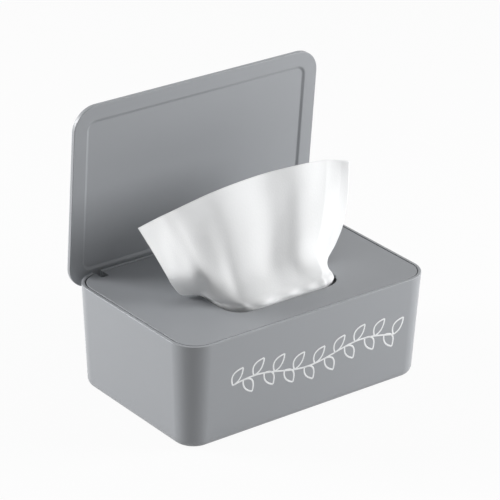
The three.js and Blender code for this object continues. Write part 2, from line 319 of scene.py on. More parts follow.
def combine(made, others, operation):
    """Boolean each of the others into the object and keep only the result."""
    for other in others:
        modifier = made.modifiers.new("combine", "BOOLEAN")
        modifier.operation = operation
        modifier.solver = "EXACT"
        modifier.object = other
    result = plain_mesh(made)
    made.modifiers.clear()
    made.data = result
    for other in others:
        bpy.data.objects.remove(other)


print("arm slots from y =", SLOT_FRONT, "and z =", SLOT_FLOOR)

# %% [markdown]
# Each moulding is finished the same way. Doubles are merged, the normals are recalculated, and only
# edges sharper than an angle stay sharp, so rounded walls shade smoothly. Then the piece gets its
# plastic, hangs on its body and stands in for its solid.

# %% Finishing a moulding
SHARP_ANGLE = math.radians(32)
MERGE_WITHIN = 1e-6


def count_open_edges(mesh):
    shape = bmesh.new()
    shape.from_mesh(mesh)
    count = sum(1 for edge in shape.edges if not edge.is_manifold)
    shape.free()
    return count


def finish_shell(made, material, body, node):
    """Merge doubles, shade, paint and hang the piece on its body."""
    shape = bmesh.new()
    shape.from_mesh(made.data)
    bmesh.ops.remove_doubles(shape, verts=shape.verts, dist=MERGE_WITHIN)
    bmesh.ops.dissolve_degenerate(shape, edges=shape.edges, dist=MERGE_WITHIN)
    bmesh.ops.recalc_face_normals(shape, faces=shape.faces)
    shape.to_mesh(made.data)
    shape.free()
    made.data.shade_smooth()
    made.data.set_sharp_from_angle(angle=SHARP_ANGLE)
    made.data.materials.clear()
    made.data.materials.append(material)
    even = made.modifiers.new("even_shading", "WEIGHTED_NORMAL")
    even.keep_sharp = True
    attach(made, body)
    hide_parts(node)
    print(made.name, "faces:", len(made.data.polygons), "open edges:", count_open_edges(made.data))
    return made


print("edges stay sharp from", round(math.degrees(SHARP_ANGLE)), "degrees")

# %% [markdown]
# The box is one moulding. Its outer wall leans in towards the floor so it leaves the mould, its foot
# is rounded, and its rim is thin. Inside, a step under the rim carries the cover. The rings run up
# the outside, over the rim and down the inside to the floor, so the whole shell is one skin and its
# wall needs no Solidify modifier.

# %% Box shell
FOOT_FILLET, FLOOR_FILLET, RIM_FILLET = 4.0, 2.0, 0.5
LEDGE_WIDTH, LEDGE_LIP, LEDGE_SLOPE = 2.4, 0.9, 2.0
WALL_LEVELS = (5.2, 30.0, 66.0, 69.0)


def box_rings():
    size = (BOX_LENGTH, BOX_DEPTH, BOX_CORNER)
    rings = []
    for side, up in quarter(10)[:-1]:
        rings.append(ring(*size, FOOT_FILLET * side, BOX_DRAFT + FOOT_FILLET * (1 - up)))
    for z in (FOOT_FILLET, *WALL_LEVELS, BOX_HEIGHT - RIM_FILLET):
        rings.append(ring(*size, z, wall_inset(z)))
    for side, up in quarter(5)[1:]:
        rings.append(ring(*size, BOX_HEIGHT - RIM_FILLET * (1 - up), RIM_FILLET * side))
    inner_top = BOX_WALL - RIM_FILLET
    for side, up in quarter(5):
        rings.append(ring(*size, BOX_HEIGHT - RIM_FILLET * side, inner_top + RIM_FILLET * up))
    slope_bottom = LEDGE_TOP - LEDGE_LIP - LEDGE_SLOPE
    rings.append(ring(*size, LEDGE_TOP, BOX_WALL))
    rings.append(ring(*size, LEDGE_TOP, BOX_WALL + LEDGE_WIDTH))
    rings.append(ring(*size, LEDGE_TOP - LEDGE_LIP, BOX_WALL + LEDGE_WIDTH))
    rings.append(ring(*size, slope_bottom, wall_inset(slope_bottom) + BOX_WALL))
    floor_inset = wall_inset(FLOOR_THICK + FLOOR_FILLET) + BOX_WALL
    for side, up in quarter(6):
        z = FLOOR_THICK + FLOOR_FILLET * (1 - up)
        rings.append(ring(*size, z, floor_inset + FLOOR_FILLET * side))
    return rings


moulded_box = skin_of("moulded_box", box_rings())
print("box shell points:", len(moulded_box.data.vertices))

# %% [markdown]
# The lid turns in the rear wall. Two solid pockets are joined to the shell there, and a slot for the
# arm and a socket for its pins are cut through each of them. The rear rim is cut round about the
# hinge axis, so that the lid clears it as it turns.

# %% Box hinge
POCKET_HALF, POCKET_FLOOR, POCKET_WALL = 5.15, 57.0, 2.0
SOCKET_RADIUS, SOCKET_REACH = 1.8, 6.15
RIM_SWEEP, RIM_STEPS, RIM_CUT_SIDE = 7.1, 20, 120.0
UNDER_LEDGE = 0.01


def rear_rim_cutter():
    """What has to go so that the rear rim is round about the hinge and the lid turns past it."""
    turns = [math.pi / 2 * (1 - i / RIM_STEPS) for i in range(RIM_STEPS + 1)]
    outline = [(HINGE_Y + RIM_SWEEP * math.cos(t), HINGE_Z + RIM_SWEEP * math.sin(t)) for t in turns]
    outline += [(CUT_PAST, HINGE_Z), (CUT_PAST, CUT_PAST), (HINGE_Y, CUT_PAST)]
    ends = (-RIM_CUT_SIDE, RIM_CUT_SIDE)
    return skin_of("rim_cutter", [[(x, y, z) for y, z in reversed(outline)] for x in ends])


def add_hinge_pockets(made):
    front = SLOT_FRONT - POCKET_WALL
    rear = BOX_DEPTH / 2 - wall_inset(POCKET_FLOOR) - BOX_WALL / 2
    top = LEDGE_TOP - UNDER_LEDGE
    pockets = [block(x - POCKET_HALF, x + POCKET_HALF, front, rear, POCKET_FLOOR, top)
               for x in HINGE_SIDES]
    combine(made, pockets, "UNION")
    sockets = [rod(SOCKET_RADIUS, x, SOCKET_REACH, HINGE_Y, HINGE_Z) for x in HINGE_SIDES]
    combine(made, [*arm_slots(), *sockets, rear_rim_cutter()], "DIFFERENCE")


add_hinge_pockets(moulded_box)
finish_shell(moulded_box, box_plastic, "box", "base_box")

# %% [markdown]
# The cover is a loose plate. It can't be a plain skin with two ends, because it has a hole, so its
# rings close on themselves: round the outer edge, across the top, down through the opening and back
# underneath. Both outlines have the same number of points, so they join without any filling. The
# cover lies loose, so it has slipped a little to one side of its gap.

# %% Inner cover
COVER_GAP, COVER_EDGE, COVER_SLIP = 0.6, 0.3, 0.3
OPENING_CORNER, OPENING_FILLET = 14.0, 0.6


def cover_rings():
    outer = (BOX_LENGTH, BOX_DEPTH, BOX_CORNER)
    hole = (OPENING_LENGTH, OPENING_DEPTH, OPENING_CORNER)
    inset = BOX_WALL + COVER_GAP
    under = COVER_TOP - COVER_THICK
    rings = [ring(*outer, under, inset + COVER_EDGE), ring(*outer, under + COVER_EDGE, inset)]
    for side, up in quarter(4):
        z = COVER_TOP - COVER_EDGE * (1 - up)
        rings.append(ring(*outer, z, inset + COVER_EDGE * side))
    for side, up in quarter(6):
        z = COVER_TOP - OPENING_FILLET * side
        rings.append(ring(*hole, z, -OPENING_FILLET * (1 - up)))
    rings.append(ring(*hole, under + COVER_EDGE, 0))
    rings.append(ring(*hole, under, -COVER_EDGE))
    return rings


def make_cover():
    made = skin_of("loose_cover", cover_rings(), ends_closed=False)
    combine(made, arm_slots(), "DIFFERENCE")
    made.data.transform(Matrix.Translation((COVER_SLIP * MM, 0, 0)))
    return finish_shell(made, cover_plastic, "box", "inner_cover")


loose_cover = make_cover()

# %% [markdown]
# The lid is drawn closed, measured from the hinge axis, and turned open about that axis at the end.
# That is easier than drawing it upright, because closed it lies in the same directions as the box.
# Its inner face has a raised border round a shallow panel with a soft bevel. Two arms reach from the
# border to the axis, each with stub pins that sit in the box's sockets.

# %% Lid plate
LID_LENGTH, LID_DEPTH, LID_CORNER, LID_THICK = 187.3, 124.7, 15.9, 3.6
LID_TAIL, LID_UNDER, LID_OPEN = 4.5, 7.4, 86.16
LID_OUTER_FILLET, LID_INNER_FILLET = 1.4, 0.4
PANEL_SIDE, PANEL_FRONT, PANEL_TAIL = 9.0, 9.5, 11.0
PANEL_DEEP, PANEL_BEVEL, PANEL_CORNER, BEVEL_STEPS = 1.0, 2.6, 7.0, 8


def lid_rings():
    size = (LID_LENGTH, LID_DEPTH, LID_CORNER)
    middle = LID_TAIL - LID_DEPTH / 2
    top = LID_UNDER + LID_THICK
    panel_depth = LID_DEPTH - PANEL_FRONT - PANEL_TAIL
    panel = (LID_LENGTH - 2 * PANEL_SIDE, panel_depth, PANEL_CORNER)
    panel_middle = LID_TAIL - PANEL_TAIL - panel_depth / 2
    rings = []
    for i in range(BEVEL_STEPS + 1):
        share = 1 - i / BEVEL_STEPS
        ease = share * share * (3 - 2 * share)
        rings.append(ring(*panel, LID_UNDER + PANEL_DEEP * ease, PANEL_BEVEL * share, panel_middle))
    for side, up in quarter(4):
        z = LID_UNDER + LID_INNER_FILLET * side
        rings.append(ring(*size, z, LID_INNER_FILLET * (1 - up), middle))
    for side, up in quarter(8):
        z = top - LID_OUTER_FILLET * (1 - up)
        rings.append(ring(*size, z, LID_OUTER_FILLET * side, middle))
    return rings


hinged_lid = skin_of("hinged_lid", lid_rings())
print("lid plate points:", len(hinged_lid.data.vertices))

# %% [markdown]
# An arm is a hub on the hinge axis that is carried straight up into the plate. Four outlines along
# the axis make it, the two end ones a little smaller, so that the hub's edges are bevelled.

# %% Lid arms and pins
ARM_WIDTH, ARM_INTO_PLATE, ARM_BEVEL, ARM_END_SHARE = 5.2, 1.5, 0.3, 0.9
HUB_RADIUS, HUB_STEPS = 3.0, 24
PIN_RADIUS, PIN_REACH = 1.5, 4.85


def lid_arm(x):
    """A hub on the axis, carried up into the plate."""
    rise = LID_UNDER + ARM_INTO_PLATE
    turns = [math.pi + math.pi * i / HUB_STEPS for i in range(HUB_STEPS + 1)]
    outline = [(HUB_RADIUS * math.cos(t), HUB_RADIUS * math.sin(t)) for t in turns]
    outline = [(-HUB_RADIUS, rise), *outline, (HUB_RADIUS, rise)]
    half = ARM_WIDTH / 2
    inner = half - ARM_BEVEL
    rings = []
    for at, share in ((-half, ARM_END_SHARE), (-inner, 1.0), (inner, 1.0), (half, ARM_END_SHARE)):
        rings.append([(x + at, y * share, z * share if z < 0 else z) for y, z in outline])
    return skin_of("arm", rings)


def add_arms_and_open(made):
    for x in HINGE_SIDES:
        combine(made, [lid_arm(x), rod(PIN_RADIUS, x, PIN_REACH, 0, 0)], "UNION")
    place = Matrix.Translation((0, HINGE_Y * MM, HINGE_Z * MM))
    made.data.transform(place @ Matrix.Rotation(-math.radians(LID_OPEN), 4, "X"))


add_arms_and_open(hinged_lid)
finish_shell(hinged_lid, lid_plastic, "lid", "lid")

# %% [markdown]
# A cloth that is pulled out of a stack is wide and loose at its free edge, and crowded where it
# passes the opening. A cloth simulation could drape it, but it would not end in this very shape.
# So rows of points are listed, from the free top edge down, over the lip of the opening and
# onto the stack. The points are in millimetres, and their heights are measured from the cover.

# %% Pulled wipe, its rows of points
OFF_THE_EDGE = 1.4
OVER_THE_STACK = 0.5
LIP_X = OPENING_LENGTH / 2 - OFF_THE_EDGE
LIP_Y = OPENING_DEPTH / 2 - OFF_THE_EDGE
REST_Z = STACK_TOP + SEAT_GAP + OVER_THE_STACK

FREE_EDGE = [(-80.4, 10, 50.3), (-67.5, 11.5, 51.9), (-53.7, 12, 53.9), (-23.5, 9, 60.5),
             (15.9, 13, 60.5), (42.7, 9, 61.7), (67.7, 12, 57.7), (81.5, 7.8, 55)]
UPPER_ROW = [(-76.2, 0, 36.8), (-62.6, 2, 37.7), (-48.1, 4, 38.7), (-20.8, 1, 44.7),
             (14.8, 5, 44.1), (37.7, 1, 45.1), (59.5, 3, 40.8), (77.4, 2.8, 35.1)]
MIDDLE_ROW = [(-71, -5.6, 23.3), (-59.3, -6, 24.2), (-46.2, -6, 25.5), (-23.4, -9, 29.6),
              (8.3, -6, 28.8), (29.5, -10, 30.8), (49.6, -7, 26.5), (69.5, -3.2, 19.2)]
LOWER_ROW = [(-61.6, -0.6, 10.1), (-51.6, -7, 10.8), (-44.5, -15, 15), (-28.1, -21, 14),
             (-1.3, -20, 13.6), (19, -24, 15.5), (40.6, -16, 11.6), (58.6, -9.2, 9.8)]
OVER_THE_COVER = [(-53.6, 0.2, 1.7), (-47.2, -8.0, 3.6), (-44.8, -19, 5), (-31, -31.5, 5.5),
                  (-2, -LIP_Y + 5, 5.5), (24, -LIP_Y + 4, 5.5), (37.6, -27.5, 5), (46, -15.5, 2.6)]
AT_THE_LIP = [(-LIP_X + 0.3, -2.5, 1.8), (-LIP_X + 0.1, -9.5, 1.9), (-LIP_X + 0.6, -21.5, 2),
              (-LIP_X + 12, -LIP_Y + 1.8, 2), (0, -LIP_Y + 0.5, 2), (LIP_X - 16, -LIP_Y + 0.8, 2),
              (LIP_X - 3.6, -LIP_Y + 4.4, 2), (LIP_X - 0.3, -23.5, 1.6)]
UNDER_THE_LIP = [(-LIP_X + 0.3, -3, -0.5), (-LIP_X + 0.1, -10, -0.5), (-LIP_X + 0.6, -22, -0.5),
                 (-LIP_X + 12, -LIP_Y + 1.8, -0.5), (0, -LIP_Y + 0.5, -0.5),
                 (LIP_X - 16, -LIP_Y + 0.8, -0.5), (LIP_X - 3.6, -LIP_Y + 4.4, -0.5),
                 (LIP_X - 0.4, -24, -0.5)]
INTO_THE_BOX = [(-LIP_X + 2.5, -2, -10), (-LIP_X + 3.2, -9, -10), (-LIP_X + 5, -20, -10),
                (-LIP_X + 14, -LIP_Y + 4, -10), (0, -LIP_Y + 4, -10), (LIP_X - 16, -LIP_Y + 4, -10),
                (LIP_X - 7, -LIP_Y + 10, -10), (LIP_X - 3, -19, -10)]
LYING_X = (-38, -34, -29, -19, 0, 18, 30, 38)
LYING_ROWS = (
    (5, (2, -6, -15, -25, -27, -25, -18, -8)),
    (0.8, (14, 8, 1, -8, -12, -9, 0, 8)),
    (0, (33, 28, 21, 10, 6, 10, 19, 28)),
)


def wipe_rows():
    """Every row from the free edge to the end on the stack, in the box's own millimetres."""
    hanging = np.array([FREE_EDGE, UPPER_ROW, MIDDLE_ROW, LOWER_ROW, OVER_THE_COVER,
                        AT_THE_LIP, UNDER_THE_LIP, INTO_THE_BOX], float)
    hanging[:, :, 2] += COVER_TOP
    lying = [[(x, y, REST_Z + rise) for x, y in zip(LYING_X, row)] for rise, row in LYING_ROWS]
    return np.concatenate([hanging, np.array(lying, float)])


print("rows and points in a row:", wipe_rows().shape[:2])

# %% [markdown]
# A curve that passes through its points joins them, first along each row and then across the rows,
# which is how a lofted surface is made. The curve is a centripetal one, because that kind makes no
# loops where points lie close together, as they do at the lip.

# %% Pulled wipe, its middle surface
ACROSS, ALONG = 241, 221


def passing_curve(points, shares):
    """Centripetal curve through the points (first axis), at shares from 0 to 1."""
    count = len(points)
    before = 2 * points[0] - points[1]
    after = 2 * points[-1] - points[-2]
    padded = np.concatenate([[before], points, [after]])
    at = np.clip(shares, 0, 1) * (count - 1)
    first = np.minimum(at.astype(int), count - 2)
    t = (at - first).reshape((-1,) + (1,) * (points.ndim - 1))
    p0, p1, p2, p3 = (padded[first + k] for k in range(4))
    gaps = [np.maximum(np.linalg.norm(b - a, axis=-1, keepdims=True), 1e-6) ** 0.5
            for a, b in ((p0, p1), (p1, p2), (p2, p3))]
    d0, d1, d2 = gaps
    m1 = ((p1 - p0) / d0 - (p2 - p0) / (d0 + d1) + (p2 - p1) / d1) * d1
    m2 = ((p2 - p1) / d1 - (p3 - p1) / (d1 + d2) + (p3 - p2) / d2) * d1
    return p1 + m1 * t + (-3 * p1 + 3 * p2 - 2 * m1 - m2) * t**2 + (2 * p1 - 2 * p2 + m1 + m2) * t**3


across = np.linspace(0, 1, ACROSS)
along = np.linspace(0, 1, ALONG)
in_rows = passing_curve(np.swapaxes(wipe_rows(), 0, 1), across)
middle_surface = passing_curve(np.swapaxes(in_rows, 0, 1), along)
print("wipe surface:", middle_surface.shape)

# %% [markdown]
# The folds are pushed out of that surface along its normals. Each one is a smooth bump across the
# cloth, faded in and out along it. Broad soft folds run down from the free edge with faint wrinkles
# between them, one crease stands at the right, and close small gathers sit just above the lip, where
# the cloth is crowded. In the formulas a is the place across the cloth and b the place down it, both
# from 0 to 1.

# %% Pulled wipe, its folds
LIP_SHARE = 0.6
BROAD_FOLDS = (
    # height in millimetres, place across, drift on the way down, width
    (0.6, 0.26, 0.02, 0.045),
    (-0.8, 0.39, 0.04, 0.035),
    (0.8, 0.50, 0.03, 0.05),
    (-0.7, 0.66, 0.0, 0.04),
)
CREASE_HEIGHT, CREASE_PLACE, CREASE_DRIFT = 1.6, 0.845, 0.3
WRINKLE_HEIGHT = 0.2
GATHER_HEIGHT, GATHER_COUNT = 0.6, 11


def bump_at(values, centre, width):
    return np.exp(-(((values - centre) / width) ** 2))


def broad_folds(a, fall, body):
    height = np.zeros_like(a)
    for tall, place, drift, width in BROAD_FOLDS:
        height += tall * body * bump_at(a, place + drift * fall, width)
    return height


def crease(a, fall, body):
    """One fold line that drifts left on its way down, with a slope to each side of it."""
    line = CREASE_PLACE - CREASE_DRIFT * np.clip(fall, 0, 0.72) ** 3
    left_of_it = np.clip(1 - (line - a) / 0.13, 0, 1) * (a < line)
    right_of_it = np.clip(1 - (a - line) / 0.1, 0, 1) * (a >= line)
    return CREASE_HEIGHT * (left_of_it**1.4 + right_of_it) * (0.45 + 0.55 * body)


def wrinkles(a, b, body):
    slanting = np.sin(34 * a + 9 * b + 2 * np.sin(9 * b))
    return WRINKLE_HEIGHT * body * slanting * np.sin(13 * b + 3 + 4 * a)


def gathers(a, b, wander):
    wave = np.sin(2 * math.pi * (GATHER_COUNT * a + wander))
    return GATHER_HEIGHT * wave * bump_at(b, LIP_SHARE - 0.09, 0.06) * bump_at(a, 0.55, 0.2)


print("broad folds:", len(BROAD_FOLDS), "gathers:", GATHER_COUNT)

# %% [markdown]
# Inside the box the cloth is as wide as outside, but the opening is narrower, so it lies there in
# ruffles. They point inwards, away from the cover. At the hems and in the lip the folds fade out, so
# the cloth's edge stays clean and the cloth doesn't cut into the cover.

# %% Pulled wipe, its whole surface
RUFFLE_HEIGHT, RUFFLE_COUNT = 5.0, 9
HEM_SHARE = 0.06


def ruffles(a, b, wander):
    wave = 0.5 + 0.5 * np.sin(2 * math.pi * (RUFFLE_COUNT * a + wander))
    return RUFFLE_HEIGHT * wave * np.clip((b - LIP_SHARE - 0.03) / 0.12, 0, 1)


def fold_heights():
    """Height of the folds in millimetres, for every point of the grid."""
    a, b = np.meshgrid(across, along)
    fall = np.clip(b / LIP_SHARE, 0, 1)
    body = np.sin(np.pi * np.clip(0.12 + 0.86 * fall, 0, 1)) ** 0.8
    wander = 0.35 * np.sin(7.3 * a + 2.1) + 0.2 * np.sin(17.0 * a)
    hem = np.clip(np.minimum(a, 1 - a) / HEM_SHARE, 0, 1)
    height = broad_folds(a, fall, body) + crease(a, fall, body)
    height += wrinkles(a, b, body)
    height += gathers(a, b, wander)
    height *= hem**0.7
    height *= 1 - 0.85 * bump_at(b, LIP_SHARE, 0.018)
    outside = 1 - np.clip((b - LIP_SHARE) / 0.1, 0, 1)
    return height * outside - ruffles(a, b, wander) * hem


def front_normals(grid):
    """The surface's normals, turned so that they point to the front of the box."""
    side = np.gradient(grid, axis=1)
    down = np.gradient(grid, axis=0)
    normal = np.cross(side, down)
    normal /= np.maximum(np.linalg.norm(normal, axis=-1, keepdims=True), 1e-9)
    points_back = normal[ALONG // 4, ACROSS // 2, 1] > 0
    return -normal if points_back else normal


folds = fold_heights()
cloth_surface = middle_surface + front_normals(middle_surface) * folds[:, :, None]
print("folds from", round(float(folds.min()), 2), "to", round(float(folds.max()), 2), "mm")

# %% [markdown]
# The grid becomes a mesh with its UV map in metres of flat cloth, and Solidify gives it a real
# thickness.

# %% Pulled wipe, its mesh
WIPE_WIDTH, WIPE_LENGTH, WIPE_THICK = 0.175, 0.14, 0.00035


def grid_mesh(name, grid):
    rows, columns = grid.shape[:2]
    index = np.arange(rows * columns).reshape(rows, columns)
    corners = [index[:-1, :-1], index[1:, :-1], index[1:, 1:], index[:-1, 1:]]
    faces = np.stack([c.ravel() for c in corners], axis=1)
    mesh = bpy.data.meshes.new(name)
    mesh.from_pydata((grid.reshape(-1, 3) * MM).tolist(), [], faces.tolist())
    uv = mesh.uv_layers.new(name="flat_cloth")
    u, v = np.meshgrid(across * WIPE_WIDTH, along * WIPE_LENGTH)
    flat = np.stack([u.ravel(), v.ravel()], axis=1)
    loops = np.zeros(len(mesh.loops), int)
    mesh.loops.foreach_get("vertex_index", loops)
    uv.data.foreach_set("uv", flat[loops].ravel())
    return mesh


def make_wipe():
    made = new_object("pulled_up_wipe", grid_mesh("pulled_up_wipe", cloth_surface))
    thick = made.modifiers.new("cloth_thickness", "SOLIDIFY")
    thick.thickness = WIPE_THICK
    thick.offset = 0
    solid = plain_mesh(made)
    made.modifiers.clear()
    made.data = solid
    solid.shade_smooth()
    solid.materials.clear()
    solid.materials.append(wipe_cloth)
    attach(made, "box")
    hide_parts("pulled_wipe")
    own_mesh(made)
    print(made.name, "faces:", len(solid.polygons))
    return made


pulled_up_wipe = make_wipe()

# %% [markdown]
# Two things in this scene repeat, the folded wipes and the leaves of the print. Geometry Nodes make
# both. A tree is written in code with named inputs, so its sizes can be changed without touching a
# node, and it ends by making its copies real and giving them a material. Its result is then taken as
# a plain mesh.

# %% Geometry Nodes helpers
def new_tree(name, start, values, result):
    """A tree with one geometry input, a named input for each value, and one geometry result."""
    tree = bpy.data.node_groups.new(name, "GeometryNodeTree")
    face = tree.interface
    face.new_socket(start, in_out="INPUT", socket_type="NodeSocketGeometry")
    for label, value in values.items():
        kind = "NodeSocketInt" if isinstance(value, int) else "NodeSocketFloat"
        face.new_socket(label, in_out="INPUT", socket_type=kind).default_value = value
    face.new_socket(result, in_out="OUTPUT", socket_type="NodeSocketGeometry")
    return tree, tree.nodes.new("NodeGroupInput"), tree.nodes.new("NodeGroupOutput")


def times(tree, value, factor):
    """A node that multiplies a value by a fixed factor."""
    node = tree.nodes.new("ShaderNodeMath")
    node.operation = "MULTIPLY"
    node.inputs[1].default_value = factor
    tree.links.new(value, node.inputs[0])
    return node.outputs[0]


def vector_of(tree, **parts):
    """A node that makes a vector from the values given for X, Y or Z, with 0 for the others."""
    node = tree.nodes.new("ShaderNodeCombineXYZ")
    for axis, value in parts.items():
        tree.links.new(value, node.inputs[axis])
    return node.outputs["Vector"]


def realize_and_paint(tree, geometry, material, result):
    """The end of a tree: its copies made real and given their material."""
    real = tree.nodes.new("GeometryNodeRealizeInstances")
    paint = tree.nodes.new("GeometryNodeSetMaterial")
    paint.inputs["Material"].default_value = material
    tree.links.new(geometry, real.inputs["Geometry"])
    tree.links.new(real.outputs["Geometry"], paint.inputs["Geometry"])
    tree.links.new(paint.outputs["Geometry"], result)


def mesh_from_nodes(made, tree, values):
    """Give the tree its named values, run it on the object and return the result as a mesh."""
    modifier = made.modifiers.new(tree.name, "NODES")
    modifier.node_group = tree
    for item in tree.interface.items_tree:
        if item.item_type == "SOCKET" and item.in_out == "INPUT" and item.name in values:
            modifier[item.identifier] = values[item.name]
    result = plain_mesh(made)
    made.modifiers.clear()
    return result


print("helpers ready for the stack and the print")

# %% [markdown]
# The folded wipes repeat one shape, so Geometry Nodes stack them: a line of points rises through the
# box, one soft slab stands on each point, and each is turned and shifted a little by a seeded random
# value, as folded cloth never lies perfectly square.

# %% Folded wipes
STACK_LENGTH, STACK_DEPTH, STACK_CORNER = 165.0, 98.0, 6.0
LAYERS = 28
SLIP_ROOM = 3.0
HALF_LAYER, FOLD_BULGE, FOLD_STEPS = 0.48, 1.6, 8
STACK_VALUES = {"Layers": LAYERS, "Pitch": STACK_HEIGHT / LAYERS * MM, "First height": STACK_BOTTOM * MM,
                "Slip": 0.0009, "Turn": 0.004, "Seed": 7}


def soft_slab():
    """One folded wipe: a thin slab with round fold edges."""
    half = STACK_HEIGHT / LAYERS * HALF_LAYER
    size = (STACK_LENGTH - SLIP_ROOM, STACK_DEPTH - SLIP_ROOM, STACK_CORNER)
    rings = []
    for i in range(FOLD_STEPS + 1):
        turn = -math.pi / 2 + math.pi * i / FOLD_STEPS
        rings.append(ring(*size, half + half * math.sin(turn), half * FOLD_BULGE * (1 - math.cos(turn))))
    return skin_of("folded_wipes", rings)


def random_between(tree, span, seed, axes):
    """A random vector from minus the span to plus the span, along the named axes."""
    minus = times(tree, span, -1)
    draw = tree.nodes.new("FunctionNodeRandomValue")
    draw.data_type = "FLOAT_VECTOR"
    tree.links.new(vector_of(tree, **{axis: minus for axis in axes}), draw.inputs["Min"])
    tree.links.new(vector_of(tree, **{axis: span for axis in axes}), draw.inputs["Max"])
    tree.links.new(seed, draw.inputs["Seed"])
    return draw.outputs["Value"]


def stack_tree(values):
    tree, entry, leave = new_tree("stack_of_folds", "Slab", values, "Stack")
    nodes, links = tree.nodes, tree.links
    line = nodes.new("GeometryNodeMeshLine")
    links.new(entry.outputs["Layers"], line.inputs["Count"])
    links.new(vector_of(tree, Z=entry.outputs["First height"]), line.inputs["Start Location"])
    links.new(vector_of(tree, Z=entry.outputs["Pitch"]), line.inputs["Offset"])
    shift = nodes.new("GeometryNodeSetPosition")
    slips = random_between(tree, entry.outputs["Slip"], entry.outputs["Seed"], "XY")
    links.new(line.outputs["Mesh"], shift.inputs["Geometry"])
    links.new(slips, shift.inputs["Offset"])
    copies = nodes.new("GeometryNodeInstanceOnPoints")
    turns = random_between(tree, entry.outputs["Turn"], entry.outputs["Seed"], "Z")
    links.new(shift.outputs["Geometry"], copies.inputs["Points"])
    links.new(entry.outputs["Slab"], copies.inputs["Instance"])
    links.new(turns, copies.inputs["Rotation"])
    realize_and_paint(tree, copies.outputs["Instances"], stack_cloth, leave.inputs["Stack"])
    return tree


def make_stack():
    made = soft_slab()
    made.data = mesh_from_nodes(made, stack_tree(STACK_VALUES), STACK_VALUES)
    made.data.shade_smooth()
    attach(made, "box")
    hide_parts("wipe_stack")
    print(made.name, "faces:", len(made.data.polygons))
    return made


folded_wipes = make_stack()

# %% [markdown]
# The front is printed in thin white lines, here with a plain sprig: a waving stem with open leaves
# on alternating sides. An image texture could carry a print, but lines that are modelled stay crisp
# from any distance. The stem is a curve, written point by point from a sine wave.

# %% Ink and stem
INK_WHITE = (0.83, 0.84, 0.85, 1.0)
PRINT_FROM, PRINT_TO, PRINT_MIDDLE = -60.0, 66.0, 36.0
STEM_POINTS, STEM_WAVE, STEM_WAVES, STEM_START = 90, 3.2, 1.5, 0.4


def white_ink():
    material, _, _, shader = new_material("white_print")
    shader.inputs["Base Color"].default_value = INK_WHITE
    shader.inputs["Roughness"].default_value = 0.5
    return material


def stem_curve():
    data = bpy.data.curves.new("printed_sprig", "CURVE")
    data.dimensions = "3D"
    line = data.splines.new("POLY")
    line.points.add(STEM_POINTS - 1)
    for i, point in enumerate(line.points):
        share = i / (STEM_POINTS - 1)
        x = PRINT_FROM + (PRINT_TO - PRINT_FROM) * share
        y = STEM_WAVE * math.sin(share * 2 * math.pi * STEM_WAVES + STEM_START)
        point.co = (x * MM, y * MM, 0, 1)
    return new_object("printed_sprig", data)


ink = white_ink()
print("print from x =", PRINT_FROM, "to", PRINT_TO, "in", ink.name)

# %% [markdown]
# A print that follows a path is a task for Geometry Nodes. A leaf is two shallow bows from its foot
# to its tip. It is placed on evenly spaced points along the stem, and every second copy leans to the
# other side. A round pen is swept along all lines, and the result is pressed flat as ink.

# %% Sprig tree
SPRIG_VALUES = {"Leaves": 17, "Leaf length": 0.0125, "Leaf width": 0.0085, "Lean": 0.95,
                "Stroke": 1.15 * MM, "Ink share": 0.1}
LEAF_SIDES = (1, -0.55)
BELLY_SHARE = 0.42


def leaf_side(tree, entry, side):
    """Nodes for one edge of a leaf, a shallow bow from its foot to its tip."""
    bow = tree.nodes.new("GeometryNodeCurveQuadraticBezier")
    bow.inputs["Resolution"].default_value = 20
    bow.inputs["Start"].default_value = (0, 0, 0)
    half = times(tree, entry.outputs["Leaf length"], BELLY_SHARE)
    wide = times(tree, entry.outputs["Leaf width"], side)
    tree.links.new(vector_of(tree, X=half, Y=wide), bow.inputs["Middle"])
    tree.links.new(vector_of(tree, X=entry.outputs["Leaf length"]), bow.inputs["End"])
    return bow.outputs["Curve"]


def round_pen(tree, entry):
    pen = tree.nodes.new("GeometryNodeCurvePrimitiveCircle")
    pen.inputs["Resolution"].default_value = 10
    tree.links.new(times(tree, entry.outputs["Stroke"], 0.5), pen.inputs["Radius"])
    return pen.outputs["Curve"]


def drawn_line(tree, curve, pen):
    """The curve as a thin closed band, as wide as the pen."""
    band = tree.nodes.new("GeometryNodeCurveToMesh")
    band.inputs["Fill Caps"].default_value = True
    tree.links.new(curve, band.inputs["Curve"])
    tree.links.new(pen, band.inputs["Profile Curve"])
    return band.outputs["Mesh"]


def alternate_lean(tree, entry):
    """A turn about Z by the lean, to the left for even copies and to the right for odd ones."""
    nodes, links = tree.nodes, tree.links
    number = nodes.new("GeometryNodeInputIndex")
    parity = nodes.new("ShaderNodeMath")
    parity.operation = "MODULO"
    parity.inputs[1].default_value = 2
    sign = nodes.new("ShaderNodeMath")
    sign.operation = "MULTIPLY_ADD"
    sign.inputs[1].default_value = -2
    sign.inputs[2].default_value = 1
    lean = nodes.new("ShaderNodeMath")
    lean.operation = "MULTIPLY"
    links.new(number.outputs["Index"], parity.inputs[0])
    links.new(parity.outputs[0], sign.inputs[0])
    links.new(sign.outputs[0], lean.inputs[0])
    links.new(entry.outputs["Lean"], lean.inputs[1])
    return vector_of(tree, Z=lean.outputs[0])


